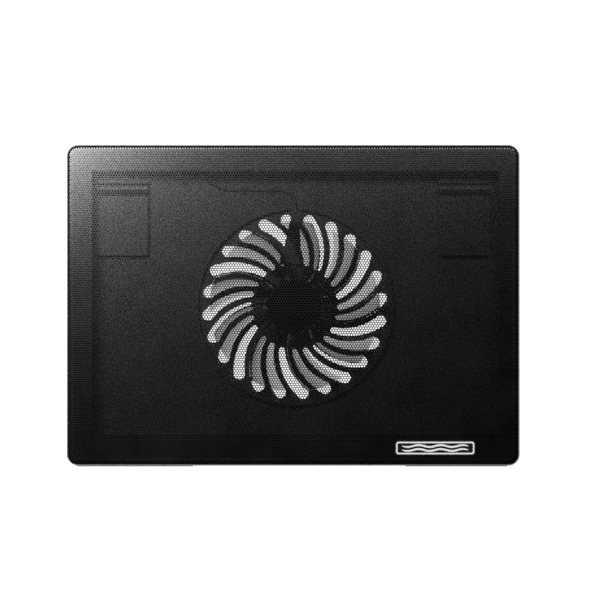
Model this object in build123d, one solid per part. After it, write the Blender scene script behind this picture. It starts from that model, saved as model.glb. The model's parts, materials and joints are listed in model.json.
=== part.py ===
from build123d import *
import math
import os

# Slim laptop cooling pad. +X right, +Y rear, +Z up, millimetres.
# The origin is on the surface the pad stands on, under the middle of its outline.

# ---- Overall size ----
LENGTH = 355.0                 # X, over the steel platform
DEPTH = 252.2                  # Y, front lips of the tray to the rear of the platform
HEIGHT = 27.5                  # Z, rubber pads to platform
CORNER_R = 9.0                 # plan radius of the platform's corners

# ---- Heights of the stack ----
TRAY_Z = 2.5                   # underside of the tray, held up by the rubber pads
FLOOR_TOP = TRAY_Z + 2.2
TRAY_RIM_Z = 21.3
SEAT_Z = 23.2                  # the top frame narrows above this, inside the rolled edge
SHELF_Z = 26.4                 # shelf of the top frame, just under the sheet
FRAME_TOP = HEIGHT - 0.8       # the steel sheet rests here

# ---- Steel platform ----
SHEET = HEIGHT - FRAME_TOP
LIP = 0.7                      # how far the tray's front lips pass the platform
PLATFORM_X = LENGTH / 2
PLATFORM_REAR = DEPTH / 2
PLATFORM_FRONT = -DEPTH / 2 + LIP
ROLL_R = 3.5                   # outer radius of the rolled edge
SKIRT_Z = 23.0                 # lower edge of the rolled rim
SLIT_L, SLIT_W = 30.0, 3.4     # long openings in staggered rows along X
SLIT_TIP = 1.0                 # length of the pointed ends
SLIT_STEP_X, SLIT_STEP_Y = 34.0, 6.0
SLIT_MARGIN = 8.0              # unpierced border
BADGE_X, BADGE_Y = 111.1, -111.3
BADGE_LENGTH, BADGE_WIDTH = 64.0, 12.6
BADGE_RIM, BADGE_GAP = 1.0, 0.15   # plain sheet round the badge, and its clearance

# ---- Tray and top frame ----
WALL = 2.0
TRAY_X = PLATFORM_X - 0.5
TRAY_REAR = PLATFORM_REAR - 0.5
TRAY_FRONT = PLATFORM_FRONT + 0.3
BOTTOM_R = 3.5
LIP_SPANS = ((-170.0, -78.5), (88.0, 168.0))
WELL = (-157.4, 161.3, -100.8, 105.4)      # opening inside the shelf: x0, x1, y0, y1
CASE_SCREWS = [(x, y) for x in (-167.0, 168.0) for y in (-113.0, 0.0, 116.0)]
CASE_SCREWS += [(x, y) for x in (-52.0, 56.0) for y in (-113.0, 116.0)]
BOSS_SPLIT_Z = 12.0            # tray boss below, frame boss above

# ---- Fan grille in the tray floor ----
FAN_X, FAN_Y = 1.2, -0.9
SLOT_COUNT = 24
SLOT_FIRST = 5.5               # polar angle of the outer end of the first slot
SLOT_IN_R, SLOT_OUT_R = 36.0, 69.0
SLOT_IN_W, SLOT_OUT_W = 4.7, 8.9
SPIRAL_R = 45.5                # every slot and blade follows an arc of this radius
SPIRAL_LEAN = 18.0             # its heading away from radial at SLOT_IN_R
GRILLE_RING_R = 78.0

# ---- Fan ----
BLADE_COUNT = 9
BLADE_FIRST = 14.5             # polar angle of a blade's middle at SLOT_OUT_R
BLADE_HALF_ANGLE = 12.5
BLADE_TIP_R = 67.0
BLADE_Z = 14.4                 # mid height of a blade
BLADE_RISE = 4.6               # its edges stand this far above and below
BLADE_T = 1.5                  # thickness half way along the section
BLADE_NOSE, BLADE_TAIL = 2.6, 0.7   # thickness of its upper and lower edges
HUB_R, HUB_Z, HUB_TOP = 22.0, 8.4, 22.2
YOKE_R, YOKE_TOP, YOKE_UNDER = 19.6, 20.4, 19.6
MAGNET_OUT, MAGNET_IN = 18.8, 16.9
CORE_R, CORE_Z, CORE_TOP = 16.5, 10.4, 14.6
SHAFT_R = 1.5
BEARING_R, BEARING_Z, BEARING_TOP = 3.5, 7.8, 17.0
TUBE_R = 5.0
FLANGE_R, FLANGE_TOP = 13.0, 6.2
BOARD_R, BOARD_TOP = 15.5, 7.2
POLES = 4
RUNNING_FIT = 0.03

# ---- Lead and gland ----
LEAD_R = 1.0
LEAD_Z = FLOOR_TOP + LEAD_R + 0.05
LEAD_X = FAN_X + 0.6
LEAD_ROW_Y = 91.2              # the lead turns left here, clear of the grille ring
LEAD_CLIPS_X = (-18.0, -40.0)
LEAD_TURN_X = -54.0            # and leaves the row here for the gland
GLAND_X, GLAND_Z = -70.0, 10.5
GLAND_SEAT_Y = 118.3           # the lead ends here, where the open bore begins
GLAND_R, GLAND_BORE_R = 3.5, 1.8
ARM = ((-10.3, 33.0), (-1.0, 72.5), (5.1, 72.5), (6.9, 33.0))

# ---- Flip-out rear feet ----
FOOT_X = 135.0                 # middle of each foot, left and right of centre
HINGE_Y, HINGE_Z = 92.0, 7.0
FOOT_W, FOOT_LONG = 36.0, 38.0
FOOT_UNDER, FOOT_OVER = 4.2, 0.2   # foot's faces below and above the hinge axis
TIP_LONG = 3.0
POCKET = (41.0, 98.1, 8.6)     # y0, y1, ceiling; its front end is a finger notch
POCKET_HALF_W = 18.5
POCKET_WALL = 1.5
BARREL_R = 4.5                 # room round the hinge
PIN_R = 1.5

# ---- Rubber pads ----
PAD_L, PAD_W, PAD_SET = 42.0, 9.0, 0.6
PADS = {
    "front_left_pad": (-128.0, -109.0),
    "front_right_pad": (128.0, -109.0),
    "rear_left_pad": (-128.0, 112.0),
    "rear_right_pad": (128.0, 112.0),
}


def block(x0, x1, y0, y1, z0, z1, corner=0.0):
    """Upright box between two corners, its vertical edges rounded."""
    size = (x1 - x0, y1 - y0)
    outline = RectangleRounded(*size, corner) if corner else Rectangle(*size)
    return Pos((x0 + x1) / 2, (y0 + y1) / 2, z0) * extrude(outline, z1 - z0)


def rod(radius, z0, z1, x=FAN_X, y=FAN_Y):
    return Pos(x, y, (z0 + z1) / 2) * Cylinder(radius, z1 - z0)


def tube(r_out, r_in, z0, z1, x=FAN_X, y=FAN_Y):
    return rod(r_out, z0, z1, x, y) - rod(r_in, z0, z1, x, y)


def rod_x(radius, x0, x1, y=HINGE_Y, z=HINGE_Z):
    return Pos((x0 + x1) / 2, y, z) * Rot(0, 90, 0) * Cylinder(radius, x1 - x0)


def rod_y(radius, y0, y1, x=GLAND_X, z=GLAND_Z):
    return Pos(x, (y0 + y1) / 2, z) * Rot(90, 0, 0) * Cylinder(radius, y1 - y0)


def polar(radius, degrees):
    a = math.radians(degrees)
    return Vector(radius * math.cos(a), radius * math.sin(a), 0)


def inset(outline, gap):
    """Outline x0, x1, y0, y1 moved inwards by gap."""
    x0, x1, y0, y1 = outline
    return (x0 + gap, x1 - gap, y0 + gap, y1 - gap)


TRAY = (-TRAY_X, TRAY_X, TRAY_FRONT, TRAY_REAR)
PLATFORM = (-PLATFORM_X, PLATFORM_X, PLATFORM_FRONT, PLATFORM_REAR)


# ---- The spiral that slots and blades follow ----
SPIRAL_CENTRE = polar(SLOT_IN_R, 0) + polar(SPIRAL_R, SPIRAL_LEAN + 90)


def spiral_angle(radius):
    """Polar angle at this radius, from 0 at SLOT_IN_R, of the spiral arc."""
    far = SPIRAL_CENTRE.length
    cosine = (radius**2 + far**2 - SPIRAL_R**2) / (2 * radius * far)
    start = math.degrees(math.atan2(SPIRAL_CENTRE.Y, SPIRAL_CENTRE.X))
    return start - math.degrees(math.acos(cosine))


SWEEP = spiral_angle(SLOT_OUT_R)


def slot_prism(outer_angle, z0, z1):
    """One curved slot, round at both ends and wider at the outer one."""
    start = outer_angle - SWEEP
    radii = (SLOT_IN_R, (SLOT_IN_R + SLOT_OUT_R) / 2, SLOT_OUT_R)
    centre = SPIRAL_CENTRE.rotate(Axis.Z, start)
    left, right = [], []
    for n, radius in enumerate(radii):
        point = polar(radius, start + spiral_angle(radius))
        half = (SLOT_IN_W + (SLOT_OUT_W - SLOT_IN_W) * n / 2) / 2
        across = (centre - point).normalized() * half
        left.append(point + across)
        right.append(point - across)
    outer, inner = (left[2] + right[2]) / 2, (left[0] + right[0]) / 2
    ahead = (outer - centre).normalized().rotate(Axis.Z, 90)
    behind = (inner - centre).normalized().rotate(Axis.Z, -90)
    edges = [
        ThreePointArc(*left),
        ThreePointArc(left[2], outer + ahead * (SLOT_OUT_W / 2), right[2]),
        ThreePointArc(right[2], right[1], right[0]),
        ThreePointArc(right[0], inner + behind * (SLOT_IN_W / 2), left[0]),
    ]
    return Pos(FAN_X, FAN_Y, z0) * extrude(make_face(Wire(edges)), z1 - z0)


def arm_prism(z0, z1):
    """Tapered arm that carries the lead from the motor across the slots."""
    return Pos(0, 0, z0) * extrude(make_face(Polyline(*ARM, close=True)), z1 - z0)


# ---- Steel platform: pierced sheet with a rolled rim ----
def make_mesh_top():
    shell = block(*PLATFORM, SKIRT_Z, HEIGHT, CORNER_R)
    shell = fillet(shell.faces().sort_by(Axis.Z)[-1].edges(), ROLL_R)
    inner = block(*inset(PLATFORM, SHEET), SKIRT_Z, FRAME_TOP, CORNER_R - SHEET)
    inner = fillet(inner.faces().sort_by(Axis.Z)[-1].edges(), ROLL_R - SHEET)
    pan = shell - inner
    half_l, half_w = SLIT_L / 2, SLIT_W / 2
    tip = half_l - SLIT_TIP
    outline = Polyline(
        (half_l, 0), (tip, half_w), (-tip, half_w), (-half_l, 0), (-tip, -half_w), (tip, -half_w),
        close=True,
    )
    slit = extrude(make_face(outline), SHEET + 1)
    x_room, y_room = PLATFORM_X - SLIT_MARGIN - half_l, PLATFORM_REAR - SLIT_MARGIN
    rows, columns = int(y_room / SLIT_STEP_Y), int(PLATFORM_X / SLIT_STEP_X)
    badge_room = (BADGE_LENGTH / 2 + half_l + BADGE_RIM, BADGE_WIDTH / 2 + half_w + BADGE_RIM)
    slits = []
    for row in range(-rows, rows + 1):
        for column in range(-columns, columns + 1):
            x = (column + 0.5 * (row % 2)) * SLIT_STEP_X
            y = row * SLIT_STEP_Y
            on_badge = abs(x - BADGE_X) < badge_room[0] and abs(y - BADGE_Y) < badge_room[1]
            if abs(x) <= x_room and not on_badge:
                slits.append(Pos(x, y, FRAME_TOP - 0.5) * slit)
    return pan - slits - badge_block(BADGE_GAP, FRAME_TOP - 1, HEIGHT + 1)


def badge_block(gap, z0, z1):
    half_x, half_y = BADGE_LENGTH / 2 + gap, BADGE_WIDTH / 2 + gap
    sides = (BADGE_X - half_x, BADGE_X + half_x, BADGE_Y - half_y, BADGE_Y + half_y)
    return block(*sides, z0, z1, 2.0 + gap)


def make_badge_plate():
    """Blank name plate, flush with the sheet and glued to the shelf below."""
    return badge_block(0.0, SHELF_Z, HEIGHT)


# ---- Top frame: shelf all round, under the sheet ----
def make_top_frame():
    flange = inset(PLATFORM, SHEET + 0.4)
    tongue = inset(TRAY, WALL + 0.2)
    seat = inset(flange, ROLL_R - SHEET)
    well_wall = inset(WELL, -1.8)
    frame = block(*flange, TRAY_RIM_Z, SEAT_Z, 7.8)
    frame += block(*tongue, TRAY_RIM_Z - 2, TRAY_RIM_Z, 6.3)
    frame += block(*seat, SEAT_Z, FRAME_TOP, 5.1)
    frame -= block(*inset(seat, WALL), SHELF_Z, HEIGHT, 3.1)
    frame -= block(*inset(tongue, WALL), TRAY_Z, SHELF_Z - 2, 4.3)
    frame += block(*well_wall, FLOOR_TOP + 0.2, SHELF_Z - 1, 2.8)
    for x, y in CASE_SCREWS:
        frame += rod(3.6, BOSS_SPLIT_Z + 0.1, SHELF_Z - 1, x, y)
        frame -= rod(1.3, BOSS_SPLIT_Z, BOSS_SPLIT_Z + 9.5, x, y)
    frame -= block(*WELL, TRAY_Z, HEIGHT, 1.0)
    notch = block(GLAND_X - 4, GLAND_X + 4, WELL[3] - 1, WELL[3] + 3, FLOOR_TOP, 13.0)
    return frame - notch


# ---- Tray with the fan grille in its floor ----
def make_base_shell():
    tray = block(*TRAY, TRAY_Z, TRAY_RIM_Z, CORNER_R - 0.5)
    tray = fillet(tray.faces().sort_by(Axis.Z)[0].edges(), BOTTOM_R)
    for x0, x1 in LIP_SPANS:
        tray += block(x0, x1, -DEPTH / 2, TRAY_FRONT + 2, TRAY_Z + BOTTOM_R, TRAY_RIM_Z, 0.6)
    tray -= block(*inset(TRAY, WALL), FLOOR_TOP, TRAY_RIM_Z + 1, CORNER_R - 0.5 - WALL)
    slots = [
        slot_prism(SLOT_FIRST + 360 / SLOT_COUNT * n, TRAY_Z - 1, FLOOR_TOP + 1)
        for n in range(SLOT_COUNT)
    ]
    arm = arm_prism(TRAY_Z - 2, FLOOR_TOP + 2)
    tray -= [slot - arm for slot in slots]
    ring = tube(GRILLE_RING_R, GRILLE_RING_R - 1.6, FLOOR_TOP - 0.1, FLOOR_TOP + 4)
    tray += ring - block(LEAD_X - 5, LEAD_X + 5, 60, 90, FLOOR_TOP, FLOOR_TOP + 5)
    for x, y in CASE_SCREWS:
        tray += rod(4.6, FLOOR_TOP - 0.1, BOSS_SPLIT_Z, x, y)
        tray -= rod(2.9, TRAY_Z - 1, 8.0, x, y)
        tray -= rod(1.5, 7.0, BOSS_SPLIT_Z + 1, x, y)
    for side in (-1, 1):
        tray = add_foot_pocket(tray, side * FOOT_X)
    for x, y in motor_screw_places():
        tray -= rod(2.1, TRAY_Z - 1, 3.7, x, y)
        tray -= rod(1.1, 3.0, FLOOR_TOP + 1, x, y)
    for x, y in PADS.values():
        tray -= pad_block(x, y, TRAY_Z - 1, TRAY_Z + PAD_SET, 0.1)
    for x in LEAD_CLIPS_X:
        for y in (LEAD_ROW_Y - LEAD_R - 1.4, LEAD_ROW_Y + LEAD_R + 0.2):
            tray += block(x - 2, x + 2, y, y + 1.2, FLOOR_TOP - 0.1, FLOOR_TOP + 3.4)
    return tray - rod_y(GLAND_R, TRAY_REAR - WALL - 1, TRAY_REAR + 1)


def add_foot_pocket(tray, x):
    """Housing over one folded foot, with a half-round cover over its hinge."""
    y0, y1, ceiling = POCKET
    room, skin = POCKET_HALF_W, POCKET_HALF_W + POCKET_WALL
    tray += block(x - skin, x + skin, y0 - 1.5, y1 + 1.5, FLOOR_TOP - 0.1, ceiling + 1.5, 1.5)
    barrel = rod_x(BARREL_R + 1.5, x - skin, x + skin)
    tray += barrel & block(x - skin, x + skin, y0, y1, FLOOR_TOP - 0.1, HEIGHT)
    tray -= block(x - room, x + room, y0, y1, TRAY_Z - 1, ceiling)
    tray -= rod_x(BARREL_R, x - room, x + room)
    return tray - rod_x(PIN_R, x - skin - 1, x + skin + 1)


def motor_screw_places():
    places = [polar(10.0, 30 + 120 * n) for n in range(3)]
    return [(FAN_X + p.X, FAN_Y + p.Y) for p in places]


def pad_block(x, y, z0, z1, gap=0.0):
    half_l, half_w = PAD_L / 2 + gap, PAD_W / 2 + gap
    return block(x - half_l, x + half_l, y - half_w, y + half_w, z0, z1, half_w - 0.5)


def make_rubber_pad(x, y):
    pad = pad_block(x, y, 0.0, TRAY_Z + PAD_SET)
    return fillet(pad.faces().sort_by(Axis.Z)[0].edges(), 0.6)


# ---- Fan rotor ----
def blade_section(radius, middle_angle):
    """Cambered section, square to the radius, from a thick nose to a thin tail."""
    half = radius * math.tan(math.radians(BLADE_HALF_ANGLE))
    along = polar(1, middle_angle + 90) * half - Vector(0, 0, BLADE_RISE)
    plane = Plane(
        origin=polar(radius, middle_angle) + Vector(0, 0, BLADE_Z),
        x_dir=along,
        z_dir=polar(1, middle_angle),
    )
    reach, nose, tail = along.length, BLADE_NOSE / 2, BLADE_TAIL / 2
    camber = 0.12 * reach
    outline = Wire([
        ThreePointArc((-reach, -nose), (0, -camber - BLADE_T / 2), (reach, -tail)),
        Line((reach, -tail), (reach, tail)),
        ThreePointArc((reach, tail), (0, -camber + BLADE_T / 2), (-reach, nose)),
        Line((-reach, nose), (-reach, -nose)),
    ])
    return plane * make_face(outline)


def make_impeller():
    hub = rod(HUB_R, HUB_Z, HUB_TOP, 0, 0)
    hub = fillet(hub.faces().sort_by(Axis.Z)[-1].edges(), 1.6)
    radii = (20.6, 32.0, 45.0, 58.0, 71.0)
    trim = rod(BLADE_TIP_R, 0, HEIGHT, 0, 0)
    for n in range(BLADE_COUNT):
        start = BLADE_FIRST - SWEEP + 360 / BLADE_COUNT * n
        sections = [blade_section(r, start + spiral_angle(r)) for r in radii]
        hub += loft(sections) & trim
    hub -= rod(YOKE_R, HUB_Z - 1, YOKE_TOP, 0, 0)
    return Pos(FAN_X, FAN_Y, 0) * hub


def make_rotor_yoke():
    return rod(YOKE_R, HUB_Z + 0.4, YOKE_TOP) - rod(MAGNET_OUT, HUB_Z, YOKE_UNDER)


def make_rotor_shaft():
    shaft = rod(SHAFT_R, 6.0, YOKE_UNDER)
    shaft = fillet(shaft.faces().sort_by(Axis.Z)[0].edges(), 0.8)
    return shaft - tube(SHAFT_R + 1, 1.1, 7.0, 7.6)


# ---- Stator ----
def pole_arms(width, z0, z1, r0, r1):
    arms = []
    for n in range(POLES):
        arm = block(r0, r1, -width / 2, width / 2, z0, z1)
        arms.append(Pos(FAN_X, FAN_Y, 0) * Rot(0, 0, 45 + 360 / POLES * n) * arm)
    return arms


def make_stator_core():
    shoes = tube(CORE_R, CORE_R - 1.8, CORE_Z, CORE_TOP)
    for n in range(POLES):
        gap = block(10, 20, -2.2, 2.2, CORE_Z - 1, CORE_TOP + 1)
        shoes -= Pos(FAN_X, FAN_Y, 0) * Rot(0, 0, 360 / POLES * n) * gap
    core = tube(7.0, TUBE_R, CORE_Z, CORE_TOP)
    for arm in pole_arms(5.0, CORE_Z, CORE_TOP, 6.0, CORE_R - 1.0):
        core += arm
    return core + shoes


def make_coil_bobbin():
    """Insulator caps above and below the core, joined by sleeves round its arms."""
    low, high = CORE_Z - 0.7, CORE_TOP + 0.7
    bobbin = tube(8.0, TUBE_R, low, CORE_Z) + tube(8.0, TUBE_R, CORE_TOP, high)
    for arm in pole_arms(6.4, low, high, 7.2, 14.0):
        bobbin += arm
    for flange in pole_arms(9.6, low - 1.4, high + 1.4, 13.1, 13.8):
        bobbin += flange
    for arm in pole_arms(5.0, CORE_Z, CORE_TOP, 6.0, 16.0):
        bobbin -= arm
    return bobbin - tube(7.0, TUBE_R - 1, CORE_Z, CORE_TOP)


def make_stator_coils():
    low, high = CORE_Z - 0.7, CORE_TOP + 0.7
    outside = pole_arms(9.2, low - 1.2, high + 1.2, 8.1, 13.0)
    inside = pole_arms(6.4, low, high, 7.0, 14.0)
    return [coil - core for coil, core in zip(outside, inside)]


def make_bearing_tube():
    body = rod(TUBE_R, FLOOR_TOP, BEARING_TOP) + rod(FLANGE_R, FLOOR_TOP, FLANGE_TOP)
    body -= rod(BEARING_R, FLOOR_TOP + 0.7, BEARING_TOP + 1)
    for x, y in motor_screw_places():
        body -= rod(1.0, FLOOR_TOP - 1, FLANGE_TOP + 1, x, y)
    return body


def make_hall_sensor():
    place = polar(14.2, 0)
    x, y = FAN_X + place.X, FAN_Y + place.Y
    return block(x - 0.8, x + 0.8, y - 2.0, y + 2.0, BOARD_TOP, BOARD_TOP + 1.6)


# ---- Screws ----
def screw(x, y, head_r, head_z, shank_r, seat_z, end_z):
    """Pan-head screw driven upwards, with a cross recess."""
    body = rod(head_r, head_z, seat_z, x, y) + rod(shank_r, seat_z - 0.1, end_z, x, y)
    reach, slot, deep = head_r * 0.6, head_r * 0.16, (seat_z - head_z) * 0.55
    body -= block(x - reach, x + reach, y - slot, y + slot, head_z, head_z + deep)
    return body - block(x - slot, x + slot, y - reach, y + reach, head_z, head_z + deep)


# ---- Lead, its cover and the gland ----
def make_fan_lead():
    """Two-core lead from the motor board to the gland, held all the way."""
    route = FilletPolyline(
        (LEAD_X, FAN_Y + BOARD_R + 0.2, LEAD_Z),
        (LEAD_X, LEAD_ROW_Y, LEAD_Z),
        (LEAD_TURN_X, LEAD_ROW_Y, LEAD_Z),
        (GLAND_X, 100.0, LEAD_Z + 0.6),
        (GLAND_X, 110.0, GLAND_Z),
        (GLAND_X, GLAND_SEAT_Y, GLAND_Z),
        radius=[12.0, 10.0, 7.0, 6.0],
    )
    start = Plane(origin=route @ 0, z_dir=route % 0)
    lead = sweep(start * Circle(LEAD_R), path=route)
    arc_free = math.pi * LEAD_R**2 * route.length
    print("fan lead", round(route.length, 1), "mm, volume ratio", round(lead.volume / arc_free, 4))
    return lead


def make_lead_cover():
    cover = arm_prism(FLOOR_TOP, FLOOR_TOP + 2.9)
    return cover - block(LEAD_X - 1.2, LEAD_X + 1.2, 20, 80, FLOOR_TOP, FLOOR_TOP + 2.2)


def make_cable_gland():
    gland = rod_y(GLAND_R, 114.0, TRAY_REAR) + rod_y(5.0, TRAY_REAR - WALL - 2.4, TRAY_REAR - WALL)
    gland -= rod_y(LEAD_R + 0.05, 113.0, GLAND_SEAT_Y + 0.7)
    return gland - rod_y(GLAND_BORE_R, GLAND_SEAT_Y, TRAY_REAR + 1)


# ---- Flip-out feet ----
def make_flip_foot(x):
    half = FOOT_W / 2
    low, high = HINGE_Z - FOOT_UNDER, HINGE_Z + FOOT_OVER
    foot = block(x - half, x + half, HINGE_Y - FOOT_LONG, HINGE_Y, low, high)
    foot += rod_x(3.4, x - half, x + half)
    hollow = block(x - half + 4, x + half - 4, HINGE_Y - FOOT_LONG + 5, HINGE_Y - 8, low + 2.2, high)
    return foot - hollow - rod_x(PIN_R + 0.05, x - half - 1, x + half + 1)


def make_foot_tip(x):
    half = FOOT_W / 2
    end = HINGE_Y - FOOT_LONG
    tip = block(x - half, x + half, end - TIP_LONG, end, HINGE_Z - FOOT_UNDER, HINGE_Z + FOOT_OVER)
    return fillet(tip.edges().filter_by(Axis.X).group_by(Axis.Y)[0], 1.4)


def make_hinge_pin(x):
    reach = POCKET_HALF_W + POCKET_WALL
    return rod_x(PIN_R - 0.01, x - reach, x + reach)


def all_nodes():
    nodes = {
        "mesh_top": make_mesh_top(),
        "badge_plate": make_badge_plate(),
        "top_frame": make_top_frame(),
        "base_shell": make_base_shell(),
        "lead_cover": make_lead_cover(),
        "fan_lead": make_fan_lead(),
        "cable_gland": make_cable_gland(),
        "impeller": make_impeller(),
        "rotor_yoke": make_rotor_yoke(),
        "magnet_ring": tube(MAGNET_OUT, MAGNET_IN, HUB_Z + 0.8, YOKE_TOP - 2.2),
        "hub_bushing": tube(3.4, SHAFT_R, BEARING_TOP + 0.4, YOKE_UNDER),
        "rotor_shaft": make_rotor_shaft(),
        "shaft_clip": tube(2.8, 1.1, 7.05, 7.55),
        "sleeve_bearing": tube(BEARING_R, SHAFT_R + RUNNING_FIT, BEARING_Z, BEARING_TOP),
        "thrust_plate": rod(BEARING_R - 0.1, FLOOR_TOP + 0.7, 6.0),
        "bearing_tube": make_bearing_tube(),
        "stator_core": make_stator_core(),
        "coil_bobbin": make_coil_bobbin(),
        "stator_coils": make_stator_coils(),
        "motor_board": tube(BOARD_R, TUBE_R, FLANGE_TOP, BOARD_TOP),
        "hall_sensor": make_hall_sensor(),
        "motor_screws": [screw(x, y, 1.9, 2.55, 0.95, 3.7, 6.1) for x, y in motor_screw_places()],
        "case_screws": [screw(x, y, 2.6, 6.2, 1.25, 8.0, 20.0) for x, y in CASE_SCREWS],
    }
    for side, x in (("left", -FOOT_X), ("right", FOOT_X)):
        nodes[side + "_flip_foot"] = make_flip_foot(x)
        nodes[side + "_foot_tip"] = make_foot_tip(x)
        nodes[side + "_hinge_pin"] = make_hinge_pin(x)
    for name, place in PADS.items():
        nodes[name] = make_rubber_pad(*place)
    return nodes


os.makedirs("parts", exist_ok=True)
for name, shape in all_nodes().items():
    if isinstance(shape, list):
        shape = Compound(shape)
    export_step(shape, f"parts/{name}.step")
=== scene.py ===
import json
import math

import bpy
import numpy as np
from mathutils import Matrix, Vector


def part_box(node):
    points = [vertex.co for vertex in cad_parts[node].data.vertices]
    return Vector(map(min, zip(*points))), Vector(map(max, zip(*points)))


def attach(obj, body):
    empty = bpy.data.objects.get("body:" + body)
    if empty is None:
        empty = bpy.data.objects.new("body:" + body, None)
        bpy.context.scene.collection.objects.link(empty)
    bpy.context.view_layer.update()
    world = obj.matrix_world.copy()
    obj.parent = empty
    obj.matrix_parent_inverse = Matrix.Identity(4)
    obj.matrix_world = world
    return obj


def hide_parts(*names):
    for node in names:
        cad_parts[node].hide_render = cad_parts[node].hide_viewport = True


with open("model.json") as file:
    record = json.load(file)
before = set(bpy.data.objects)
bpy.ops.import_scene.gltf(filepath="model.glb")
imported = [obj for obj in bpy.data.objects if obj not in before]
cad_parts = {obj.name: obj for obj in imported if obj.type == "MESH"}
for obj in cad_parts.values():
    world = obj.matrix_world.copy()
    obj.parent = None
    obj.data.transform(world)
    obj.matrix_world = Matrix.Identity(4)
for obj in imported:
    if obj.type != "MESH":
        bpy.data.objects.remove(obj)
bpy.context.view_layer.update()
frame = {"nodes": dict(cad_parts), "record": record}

MM = 0.001

# ---- Places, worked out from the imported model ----
PAD_LO, PAD_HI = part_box("mesh_top")
TOP_Z = PAD_HI[2]
HEM_Z = PAD_LO[2]
BADGE_LO, BADGE_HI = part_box("badge_plate")

# ---- Perforated sheet ----
SHEET = 0.8 * MM               # thickness
ROLL_R = 3.5 * MM              # outer radius of the rolled edge
CORNER_R = 9.0 * MM            # plan radius of the platform's corners
PITCH = 2.03 * MM              # between the centres of two holes in a row
ROW_STEP = PITCH * math.sqrt(3) / 2
HOLE_R = 0.81 * MM             # centre to corner of a six-sided hole
HOLE_REACH = 2.6 * MM          # holes stop this far along the sheet past the start of the roll
MAX_CELLS = 3100               # cells in one strip of the sheet
KEY_GRID = 0.05 * MM           # corners closer than this are one corner
SMALLEST_FACE = 1e-12          # square metres

# ---- Finishes ----
DRIFT_SCALE = 35.0             # slow change of colour, waves per metre
SMOKE_DENSITY = 650.0          # per metre, of the fan's clear plastic

# ---- Name plate ----
BADGE_CORNER_R = 2.0 * MM
BADGE_EASE = 0.3 * MM          # eased upper edge
BADGE_GAP = 0.15 * MM          # between the plate and the sheet
BORDER_INSET = 1.4 * MM
BORDER_WIDTH = 1.15 * MM
BORDER_INNER_R = 1.2 * MM
WAVE_REACH, WAVE_RISE, WAVE_WIDTH = 26 * MM, 0.75 * MM, 1.5 * MM
WAVE_SHIFTS = (-1.55, 1.55)    # mm, of each wave from the plate's middle
WAVE_POINTS = 73
WAVE_HALF_TURNS = 3            # half periods each side of the middle
INK_STEP = 0.06 * MM

# ---- Camera ----
VIEW_WIDTH = 0.4690            # what the picture takes in, at the platform's height
VIEW_CENTRE = (0.0054, 0.0044)
CAMERA_HEIGHT = 1.6            # over the platform
SENSOR_WIDTH = 36.0
FARTHEST_SEEN = 20.0

# ---- Studio ----
HORIZON_GLOW, ZENITH_GLOW = 0.35, 0.010
GLOW_LOW, GLOW_HIGH = 0.15, 0.75    # heights on the unit sky where the glow changes
SAMPLE_CLAMP = 1.0             # takes the brightest specks off the fan
FLOOR_REACH = 6.0
# Each light: name, place, target, size, watts.
LIGHTS = (
    ("key", (-0.25, 0.235, 0.42), (-0.15, 0.10, 0.0), (0.28, 0.17), 8.5),
    ("rear_strip", (0.05, 0.26, 0.42), (0.05, 0.12, 0.0), (0.48, 0.07), 2.5),
)


def material(name):
    """New node material: returns it, its node tree and its shader."""
    mat = bpy.data.materials.new(name)
    mat.use_nodes = True
    tree = mat.node_tree
    return mat, tree, tree.nodes["Principled BSDF"]


def noise(tree, scale, detail=3.0, stretch=(1, 1, 1)):
    """Noise over the object's own coordinates, in waves per metre."""
    coords = tree.nodes.new("ShaderNodeTexCoord")
    mapping = tree.nodes.new("ShaderNodeMapping")
    mapping.inputs["Scale"].default_value = stretch
    texture = tree.nodes.new("ShaderNodeTexNoise")
    texture.inputs["Scale"].default_value = scale
    texture.inputs["Detail"].default_value = detail
    tree.links.new(coords.outputs["Object"], mapping.inputs["Vector"])
    tree.links.new(mapping.outputs["Vector"], texture.inputs["Vector"])
    return texture.outputs["Fac"]


def spread(tree, source, low, high, dark=0.35, light=0.65):
    """Source from dark to light becomes low to high: two numbers or two colours."""
    if isinstance(low, (int, float)):
        node = tree.nodes.new("ShaderNodeMapRange")
        node.inputs["From Min"].default_value = dark
        node.inputs["From Max"].default_value = light
        node.inputs["To Min"].default_value = low
        node.inputs["To Max"].default_value = high
        tree.links.new(source, node.inputs["Value"])
        return node.outputs["Result"]
    node = tree.nodes.new("ShaderNodeValToRGB")
    node.color_ramp.elements[0].position = dark
    node.color_ramp.elements[1].position = light
    node.color_ramp.elements[0].color = (*low, 1)
    node.color_ramp.elements[1].color = (*high, 1)
    tree.links.new(source, node.inputs["Fac"])
    return node.outputs["Color"]


def bump(tree, shader, source, distance, strength=0.5):
    """Raises the surface by the source, up to a distance in metres."""
    node = tree.nodes.new("ShaderNodeBump")
    node.inputs["Strength"].default_value = strength
    node.inputs["Distance"].default_value = distance
    tree.links.new(source, node.inputs["Height"])
    tree.links.new(node.outputs["Normal"], shader.inputs["Normal"])


def textured(name, dark, light, rough, grain, depth, metallic=0.0, stretch=(1, 1, 1)):
    """Material whose colour and roughness drift and whose surface has a fine grain."""
    mat, tree, shader = material(name)
    drift = noise(tree, DRIFT_SCALE, 4.0)
    fine = noise(tree, grain, 2.0, stretch)
    tree.links.new(spread(tree, drift, dark, light), shader.inputs["Base Color"])
    tree.links.new(spread(tree, fine, rough[0], rough[1]), shader.inputs["Roughness"])
    bump(tree, shader, fine, depth)
    shader.inputs["Metallic"].default_value = metallic
    return mat


def grey(value):
    """Neutral colour, a touch cool."""
    return (value, value, value * 1.03)


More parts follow.
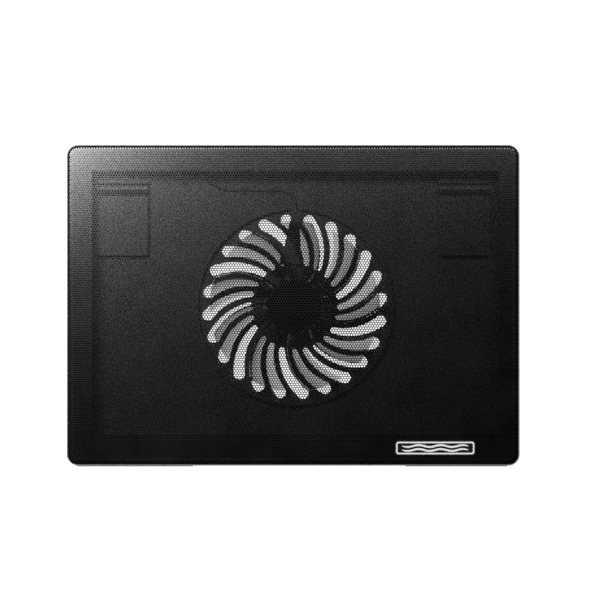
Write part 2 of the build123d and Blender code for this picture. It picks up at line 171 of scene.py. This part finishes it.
def blade_material():
    """Clear smoke-grey plastic: the thicker it is, the darker, with faint flow lines."""
    mat, tree, shader = material("smoke_blades")
    flow = noise(tree, 260.0, 3.0, (1, 1, 0.2))
    tree.links.new(spread(tree, flow, grey(0.80), grey(0.92)), shader.inputs["Base Color"])
    tree.links.new(spread(tree, flow, 0.08, 0.16), shader.inputs["Roughness"])
    bump(tree, shader, flow, 0.05 * MM, 0.25)
    shader.inputs["IOR"].default_value = 1.49
    shader.inputs["Specular IOR Level"].default_value = 0.15
    shader.inputs["Transmission Weight"].default_value = 1.0
    smoke = tree.nodes.new("ShaderNodeVolumeAbsorption")
    smoke.inputs["Color"].default_value = (0.30, 0.30, 0.32, 1)
    smoke.inputs["Density"].default_value = SMOKE_DENSITY
    tree.links.new(smoke.outputs["Volume"], tree.nodes["Material Output"].inputs["Volume"])
    return mat


def winding_material():
    """Copper wire laid side by side."""
    mat, tree, shader = material("copper_wire")
    coords = tree.nodes.new("ShaderNodeTexCoord")
    wave = tree.nodes.new("ShaderNodeTexWave")
    wave.bands_direction = "Z"
    wave.inputs["Scale"].default_value = 900.0
    tree.links.new(coords.outputs["Object"], wave.inputs["Vector"])
    colour = spread(tree, wave.outputs["Fac"], (0.20, 0.06, 0.02), (0.62, 0.25, 0.09), 0.1, 0.8)
    tree.links.new(colour, shader.inputs["Base Color"])
    bump(tree, shader, wave.outputs["Fac"], 0.1 * MM)
    shader.inputs["Metallic"].default_value = 0.8
    shader.inputs["Roughness"].default_value = 0.3
    return mat


MATERIALS = {
    "platform_steel": textured(
        "powder_coat", grey(0.002), grey(0.004), (0.19, 0.23), 1400.0, 0.006 * MM
    ),
    "tray_plastic": textured(
        "moulded_tray", grey(0.009), grey(0.013), (0.32, 0.42), 1800.0, 0.08 * MM
    ),
    "frame_plastic": textured(
        "moulded_frame", grey(0.006), grey(0.010), (0.20, 0.27), 1800.0, 0.08 * MM
    ),
    "badge_plastic": textured(
        "gloss_badge", grey(0.006), grey(0.010), (0.12, 0.20), 600.0, 0.02 * MM
    ),
    "blade_plastic": blade_material(),
    "yoke_steel": textured(
        "plated_yoke", grey(0.10), grey(0.14), (0.25, 0.4), 900.0, 0.02 * MM, 1.0
    ),
    "magnet": textured(
        "ferrite", grey(0.05), grey(0.08), (0.5, 0.7), 1500.0, 0.05 * MM
    ),
    "bright_steel": textured(
        "ground_steel", grey(0.50), grey(0.62), (0.18, 0.34), 900.0, 0.02 * MM, 1.0, (1, 12, 12)
    ),
    "bronze": textured(
        "sintered_bronze", (0.45, 0.30, 0.14), (0.60, 0.42, 0.22), (0.35, 0.55), 2500.0,
        0.05 * MM, 1.0
    ),
    "brass": textured(
        "turned_brass", (0.62, 0.45, 0.18), (0.75, 0.58, 0.28), (0.2, 0.35), 1200.0,
        0.02 * MM, 1.0
    ),
    "white_plastic": textured(
        "natural_nylon", (0.62, 0.61, 0.55), (0.70, 0.69, 0.63), (0.4, 0.55), 900.0, 0.04 * MM
    ),
    "motor_plastic": textured(
        "motor_mould", grey(0.02), grey(0.03), (0.4, 0.55), 1500.0, 0.05 * MM
    ),
    "core_steel": textured(
        "stacked_core", grey(0.28), grey(0.40), (0.3, 0.5), 600.0, 0.1 * MM, 1.0, (0.2, 0.2, 6)
    ),
    "copper_wire": winding_material(),
    "board": textured(
        "solder_mask", (0.012, 0.09, 0.035), (0.02, 0.14, 0.05), (0.2, 0.35), 700.0, 0.03 * MM
    ),
    "chip_plastic": textured(
        "moulded_chip", grey(0.02), grey(0.03), (0.5, 0.65), 2500.0, 0.03 * MM
    ),
    "black_screw": textured(
        "black_oxide", grey(0.03), grey(0.05), (0.3, 0.5), 1500.0, 0.03 * MM, 0.9
    ),
    "lead_jacket": textured(
        "vinyl_jacket", grey(0.012), grey(0.02), (0.35, 0.5), 900.0, 0.04 * MM
    ),
    "black_rubber": textured(
        "matt_rubber", grey(0.012), grey(0.022), (0.65, 0.85), 1600.0, 0.1 * MM
    ),
    "badge_ink": textured(
        "badge_ink", grey(0.72), grey(0.82), (0.35, 0.45), 1200.0, 0.01 * MM
    ),
}


def dress_cad_nodes():
    for row in frame["record"]["subparts"]:
        node = frame["nodes"][row["node"]]
        node.data.materials.clear()
        node.data.materials.append(MATERIALS[row["material_slot"]])


def add_piece(name, mesh, slot, body="pad", look=None):
    """New piece that rides on a body and takes its finish from a slot."""
    piece = bpy.data.objects.new(name, mesh)
    bpy.context.collection.objects.link(piece)
    mesh.materials.append(MATERIALS[look or slot])
    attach(piece, body)
    return piece


# ---- The pierced sheet: a flat lattice of hexagonal cells, rolled over its rim ----
class Rim:
    """The rounded outline where the sheet's edge starts to roll."""

    def __init__(self):
        lo, hi = np.array(PAD_LO[:2]), np.array(PAD_HI[:2])
        self.radius = CORNER_R - ROLL_R
        self.lo = lo + ROLL_R + self.radius
        self.hi = hi - ROLL_R - self.radius
        self.drop = TOP_Z - HEM_Z
        self.reach = ROLL_R * math.pi / 2 + self.drop - ROLL_R

    def distance(self, points):
        """How far outside the outline each flat point is, and the way out."""
        core = np.clip(points, self.lo, self.hi)
        away = points - core
        length = np.hypot(away[:, 0], away[:, 1])
        outward = away / np.maximum(length, 1e-9)[:, None]
        return length - self.radius, outward, core

    def roll(self, points, depth):
        """Flat points become points in space, depth below the sheet's outer face."""
        far, outward, core = self.distance(points)
        far = np.minimum(far, self.reach)
        turn = np.clip(far / ROLL_R, 0, math.pi / 2)
        straight = np.maximum(far - ROLL_R * math.pi / 2, 0)
        inner = ROLL_R - depth
        out = self.radius + inner * np.sin(turn)
        rolled = core + outward * out[:, None]
        flat = far <= 0
        plan = np.where(flat[:, None], points, rolled)
        z = TOP_Z - ROLL_R + inner * np.cos(turn) - straight
        return np.column_stack([plan, np.where(flat, TOP_Z - depth, z)])


def push_off_badge(points):
    """Moves flat points that lie under the name plate out to its edge."""
    corner = BADGE_CORNER_R + BADGE_GAP
    lo = np.array(BADGE_LO[:2]) - BADGE_GAP
    hi = np.array(BADGE_HI[:2]) + BADGE_GAP
    centre, half = (lo + hi) / 2, (hi - lo) / 2
    local = points - centre
    core = half - corner
    beyond = np.abs(local) - core
    in_corner = (beyond > 0).all(axis=1)
    inside = (np.abs(local) < half).all(axis=1)
    reach = np.hypot(beyond[:, 0], beyond[:, 1])
    inside &= ~(in_corner & (reach > corner))
    sign = np.where(local < 0, -1.0, 1.0)
    room = half - np.abs(local)
    moved = local.copy()
    side = inside & ~in_corner
    by_x = side & (room[:, 0] < room[:, 1])
    by_y = side & ~by_x
    moved[by_x, 0] = (sign * half)[by_x, 0]
    moved[by_y, 1] = (sign * half)[by_y, 1]
    bend = inside & in_corner
    arc = core + beyond * (corner / np.maximum(reach, 1e-9))[:, None]
    moved[bend] = (sign * arc)[bend]
    return moved + centre, inside


def lattice():
    """Centres of the sheet's cells, rows along X."""
    rim = Rim()
    margin = rim.radius + rim.reach + PITCH
    lo, hi = rim.lo - margin, rim.hi + margin
    rows = np.arange(math.floor(lo[1] / ROW_STEP), math.ceil(hi[1] / ROW_STEP) + 1)
    columns = np.arange(math.floor(lo[0] / PITCH), math.ceil(hi[0] / PITCH) + 1)
    row, column = np.meshgrid(rows, columns, indexing="ij")
    x = (column + 0.5 * (row % 2)) * PITCH
    return np.column_stack([x.ravel(), (row * ROW_STEP).ravel()])


def build_mesh(name, points, faces):
    """Mesh from points and a list of face arrays, each with its own side count."""
    mesh = bpy.data.meshes.new(name)
    corners = np.concatenate([f.ravel() for f in faces])
    counts = np.concatenate([np.full(len(f), f.shape[1]) for f in faces])
    used, corners = np.unique(corners, return_inverse=True)
    mesh.vertices.add(len(used))
    mesh.vertices.foreach_set("co", points[used].ravel())
    mesh.loops.add(len(corners))
    mesh.loops.foreach_set("vertex_index", corners.astype(np.int32).ravel())
    mesh.polygons.add(len(counts))
    starts = np.concatenate([[0], np.cumsum(counts)[:-1]])
    mesh.polygons.foreach_set("loop_start", starts.astype(np.int32))
    mesh.update(calc_edges=True)
    mesh.validate()
    mesh.shade_smooth()
    mesh.set_sharp_from_angle(angle=math.radians(35))
    return mesh


def planar_uv(mesh):
    """Plan-view UV map over the whole sheet."""
    layer = mesh.uv_layers.new(name="OFBake")
    index = np.empty(len(mesh.loops), dtype=np.int32)
    mesh.loops.foreach_get("vertex_index", index)
    spots = np.empty(len(mesh.vertices) * 3)
    mesh.vertices.foreach_get("co", spots)
    plan = spots.reshape(-1, 3)[:, :2]
    low, size = plan.min(axis=0), np.ptp(plan, axis=0).max()
    layer.uv.foreach_set("vector", (((plan - low) / size) * 0.98 + 0.01)[index].ravel())


def sheet_strip(name, centres, rim):
    """One strip of the sheet: cells with a six-sided hole, plain ones along the hem."""
    n = len(centres)
    corner = np.radians(30 + 60 * np.arange(6))
    ring = np.column_stack([np.cos(corner), np.sin(corner)])
    outer = centres[:, None] + ring * (ROW_STEP * 2 / 3)
    hole = centres[:, None] + ring * HOLE_R
    keys = np.round(outer.reshape(-1, 2) / KEY_GRID).astype(np.int64)
    _, first, same = np.unique(keys, axis=0, return_index=True, return_inverse=True)
    same = same.reshape(n, 6)
    flat = np.concatenate([outer.reshape(-1, 2)[first], hole.reshape(-1, 2)])
    holes = len(first) + np.arange(n * 6).reshape(n, 6)
    far = rim.distance(centres)[0]
    plain = far > HOLE_REACH
    after = (np.arange(6) + 1) % 6
    pierced = np.stack([same, same[:, after], holes[:, after], holes], axis=2)[~plain]
    solid = same[plain]
    top = np.concatenate([
        pierced.reshape(-1, 4), solid[:, [0, 1, 2, 3]], solid[:, [0, 3, 4, 5]]
    ])
    flat, under_badge = push_off_badge(flat)
    spread_out = rim.distance(flat)[0]
    gone = under_badge[top].all(axis=1) & (face_area(flat, top) < SMALLEST_FACE)
    gone |= (spread_out[top] >= rim.reach - 1e-7).all(axis=1)
    top = top[~gone]
    total = len(flat)
    points = np.concatenate([rim.roll(flat, 0.0), rim.roll(flat, SHEET)])
    below = top[:, ::-1] + total
    edges = np.stack([top, np.roll(top, -1, axis=1)], axis=2).reshape(-1, 2)
    key = np.sort(edges, axis=1)
    _, index, count = np.unique(key, axis=0, return_index=True, return_counts=True)
    border = edges[index[count == 1]]
    start, end = border[:, 0], border[:, 1]
    walls = np.column_stack([end, start, start + total, end + total])
    mesh = build_mesh(name, points, [top, below, walls])
    planar_uv(mesh)
    return add_piece(name, mesh, "platform_steel")


def face_area(points, faces):
    """Area of each flat face by the shoelace rule."""
    x, y = points[faces, 0], points[faces, 1]
    return 0.5 * np.abs((x * np.roll(y, -1, 1) - y * np.roll(x, -1, 1)).sum(axis=1))


def make_sheet():
    rim = Rim()
    centres = lattice()
    centres = centres[rim.distance(centres)[0] < rim.reach + PITCH * 0.65]
    moved, under = push_off_badge(centres)
    buried = under & (np.abs(moved - centres).sum(axis=1) > PITCH * 0.7)
    centres = centres[~buried]
    strips = math.ceil(len(centres) / MAX_CELLS)
    order = np.argsort(centres[:, 0], kind="stable")
    for number, part in enumerate(np.array_split(centres[order], strips), 1):
        piece = sheet_strip(f"mesh_strip_{number:02d}", part, rim)
        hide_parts("mesh_top")


# ---- Name plate: gloss plate, pale border and two airflow waves ----
def rounded_loop(half, radius, steps=6):
    """Rounded rectangle about the name plate's centre, as plan points."""
    points = []
    for quarter, (sx, sy) in enumerate(((1, 1), (-1, 1), (-1, -1), (1, -1))):
        for step in range(steps + 1):
            turn = math.radians(90 * (quarter + step / steps))
            points.append((
                sx * (half[0] - radius) + radius * math.cos(turn),
                sy * (half[1] - radius) + radius * math.sin(turn),
            ))
    return np.array(points)


def band_mesh(name, outside, inside, low, high, closed=True):
    """Raised band between two matching lines of plan points."""
    centre = (np.array(BADGE_LO[:2]) + np.array(BADGE_HI[:2])) / 2
    n = len(outside)
    lines = [np.column_stack([line + centre, np.full(n, z)])
             for line, z in ((outside, high), (inside, high), (inside, low), (outside, low))]
    points = np.concatenate(lines)
    steps = n if closed else n - 1
    at = np.arange(steps)
    then = (at + 1) % n
    faces = []
    for side in range(4):
        a, b = side * n, (side + 1) % 4 * n
        faces.append(np.column_stack([at + a, then + a, then + b, at + b]))
    if not closed:
        faces.append(np.array([[0, n, 2 * n, 3 * n]]))
        last = n - 1
        faces.append(np.array([[last, last + 3 * n, last + 2 * n, last + n]]))
    return build_mesh(name, points, faces)


def make_badge():
    half = (np.array(BADGE_HI[:2]) - np.array(BADGE_LO[:2])) / 2
    ink_low, top = TOP_Z - 2 * INK_STEP, TOP_Z
    plate_top = TOP_Z - INK_STEP
    edge = rounded_loop(half, BADGE_CORNER_R)
    ease = rounded_loop(half - BADGE_EASE, BADGE_CORNER_R - BADGE_EASE)
    n = len(edge)
    centre = (np.array(BADGE_LO[:2]) + np.array(BADGE_HI[:2])) / 2
    rings = [(ease, plate_top), (edge, plate_top - BADGE_EASE), (edge, BADGE_LO[2])]
    points = np.concatenate([
        np.column_stack([line + centre, np.full(n, z)]) for line, z in rings
    ])
    at = np.arange(n)
    then = (at + 1) % n
    faces = [np.column_stack([at + r * n, at + (r + 1) * n, then + (r + 1) * n, then + r * n])
             for r in range(2)]
    faces += [at[None, :], (at[::-1] + 2 * n)[None, :]]
    plate = add_piece("badge_body", build_mesh("badge_body", points, faces), "badge_plastic")
    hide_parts("badge_plate")
    outside = rounded_loop(half - BORDER_INSET, BADGE_CORNER_R)
    inside = rounded_loop(half - BORDER_INSET - BORDER_WIDTH, BORDER_INNER_R)
    border = band_mesh("badge_border", outside, inside, ink_low, top)
    add_piece("badge_border", border, "badge_plastic", look="badge_ink")
    along = np.linspace(-1, 1, WAVE_POINTS)
    for number, shift in enumerate(WAVE_SHIFTS, 1):
        x = along * WAVE_REACH
        y = shift * MM + WAVE_RISE * np.sin(along * math.pi * WAVE_HALF_TURNS)
        width = WAVE_WIDTH / 2 * np.sqrt(np.clip(1 - along**8, 0.05, 1))
        upper, lower = np.column_stack([x, y + width]), np.column_stack([x, y - width])
        name = f"badge_wave_{number}"
        mesh = band_mesh(name, upper, lower, ink_low, top, closed=False)
        add_piece(name, mesh, "badge_plastic", look="badge_ink")


# ---- Studio ----
def make_camera():
    data = bpy.data.cameras.new("camera")
    camera = bpy.data.objects.new("camera", data)
    bpy.context.collection.objects.link(camera)
    camera.location = (*VIEW_CENTRE, TOP_Z + CAMERA_HEIGHT)
    data.sensor_width = SENSOR_WIDTH
    data.lens = data.sensor_width * CAMERA_HEIGHT / VIEW_WIDTH
    data.clip_end = FARTHEST_SEEN
    bpy.context.scene.camera = camera


def make_floor():
    """Pale lit tabletop."""
    mesh = bpy.data.meshes.new("floor")
    reach = FLOOR_REACH
    corners = [(-reach, -reach, 0), (reach, -reach, 0), (reach, reach, 0), (-reach, reach, 0)]
    mesh.from_pydata(corners, [], [(0, 1, 2, 3)])
    floor = bpy.data.objects.new("floor", mesh)
    bpy.context.collection.objects.link(floor)
    mat, _, shader = material("floor")
    shader.inputs["Base Color"].default_value = (0.8, 0.8, 0.8, 1)
    shader.inputs["Roughness"].default_value = 0.9
    shader.inputs["Specular IOR Level"].default_value = 0.0
    shader.inputs["Emission Color"].default_value = (1, 1, 1, 1)
    shader.inputs["Emission Strength"].default_value = 1.0
    mesh.materials.append(mat)


def area_light(name, place, target, size, power):
    data = bpy.data.lights.new(name, "AREA")
    data.shape = "RECTANGLE"
    data.size, data.size_y = size
    data.energy = power
    light = bpy.data.objects.new(name, data)
    bpy.context.collection.objects.link(light)
    light.location = place
    aim = Vector(target) - Vector(place)
    light.rotation_mode = "QUATERNION"
    light.rotation_quaternion = aim.to_track_quat("-Z", "Y")
    light.visible_camera = False


def make_studio():
    scene = bpy.context.scene
    scene.view_settings.view_transform = "Standard"
    scene.cycles.use_denoising = False
    scene.cycles.sample_clamp_direct = SAMPLE_CLAMP
    scene.cycles.sample_clamp_indirect = SAMPLE_CLAMP
    world = bpy.data.worlds.new("world")
    scene.world = world
    world.use_nodes = True
    tree = world.node_tree
    sky = tree.nodes["Background"]
    coords = tree.nodes.new("ShaderNodeTexCoord")
    split = tree.nodes.new("ShaderNodeSeparateXYZ")
    tree.links.new(coords.outputs["Generated"], split.inputs["Vector"])
    glow = spread(tree, split.outputs["Z"], HORIZON_GLOW, ZENITH_GLOW, GLOW_LOW, GLOW_HIGH)
    tree.links.new(glow, sky.inputs["Strength"])
    pale = tree.nodes.new("ShaderNodeBackground")
    pale.inputs["Strength"].default_value = 1.0
    pale.inputs["Color"].default_value = (1, 1, 1, 1)
    path = tree.nodes.new("ShaderNodeLightPath")
    mix = tree.nodes.new("ShaderNodeMixShader")
    tree.links.new(path.outputs["Is Camera Ray"], mix.inputs["Fac"])
    tree.links.new(sky.outputs["Background"], mix.inputs[1])
    tree.links.new(pale.outputs["Background"], mix.inputs[2])
    tree.links.new(mix.outputs["Shader"], tree.nodes["World Output"].inputs["Surface"])
    for light in LIGHTS:
        area_light(*light)


make_camera()
make_studio()
make_floor()
dress_cad_nodes()
make_sheet()
make_badge()
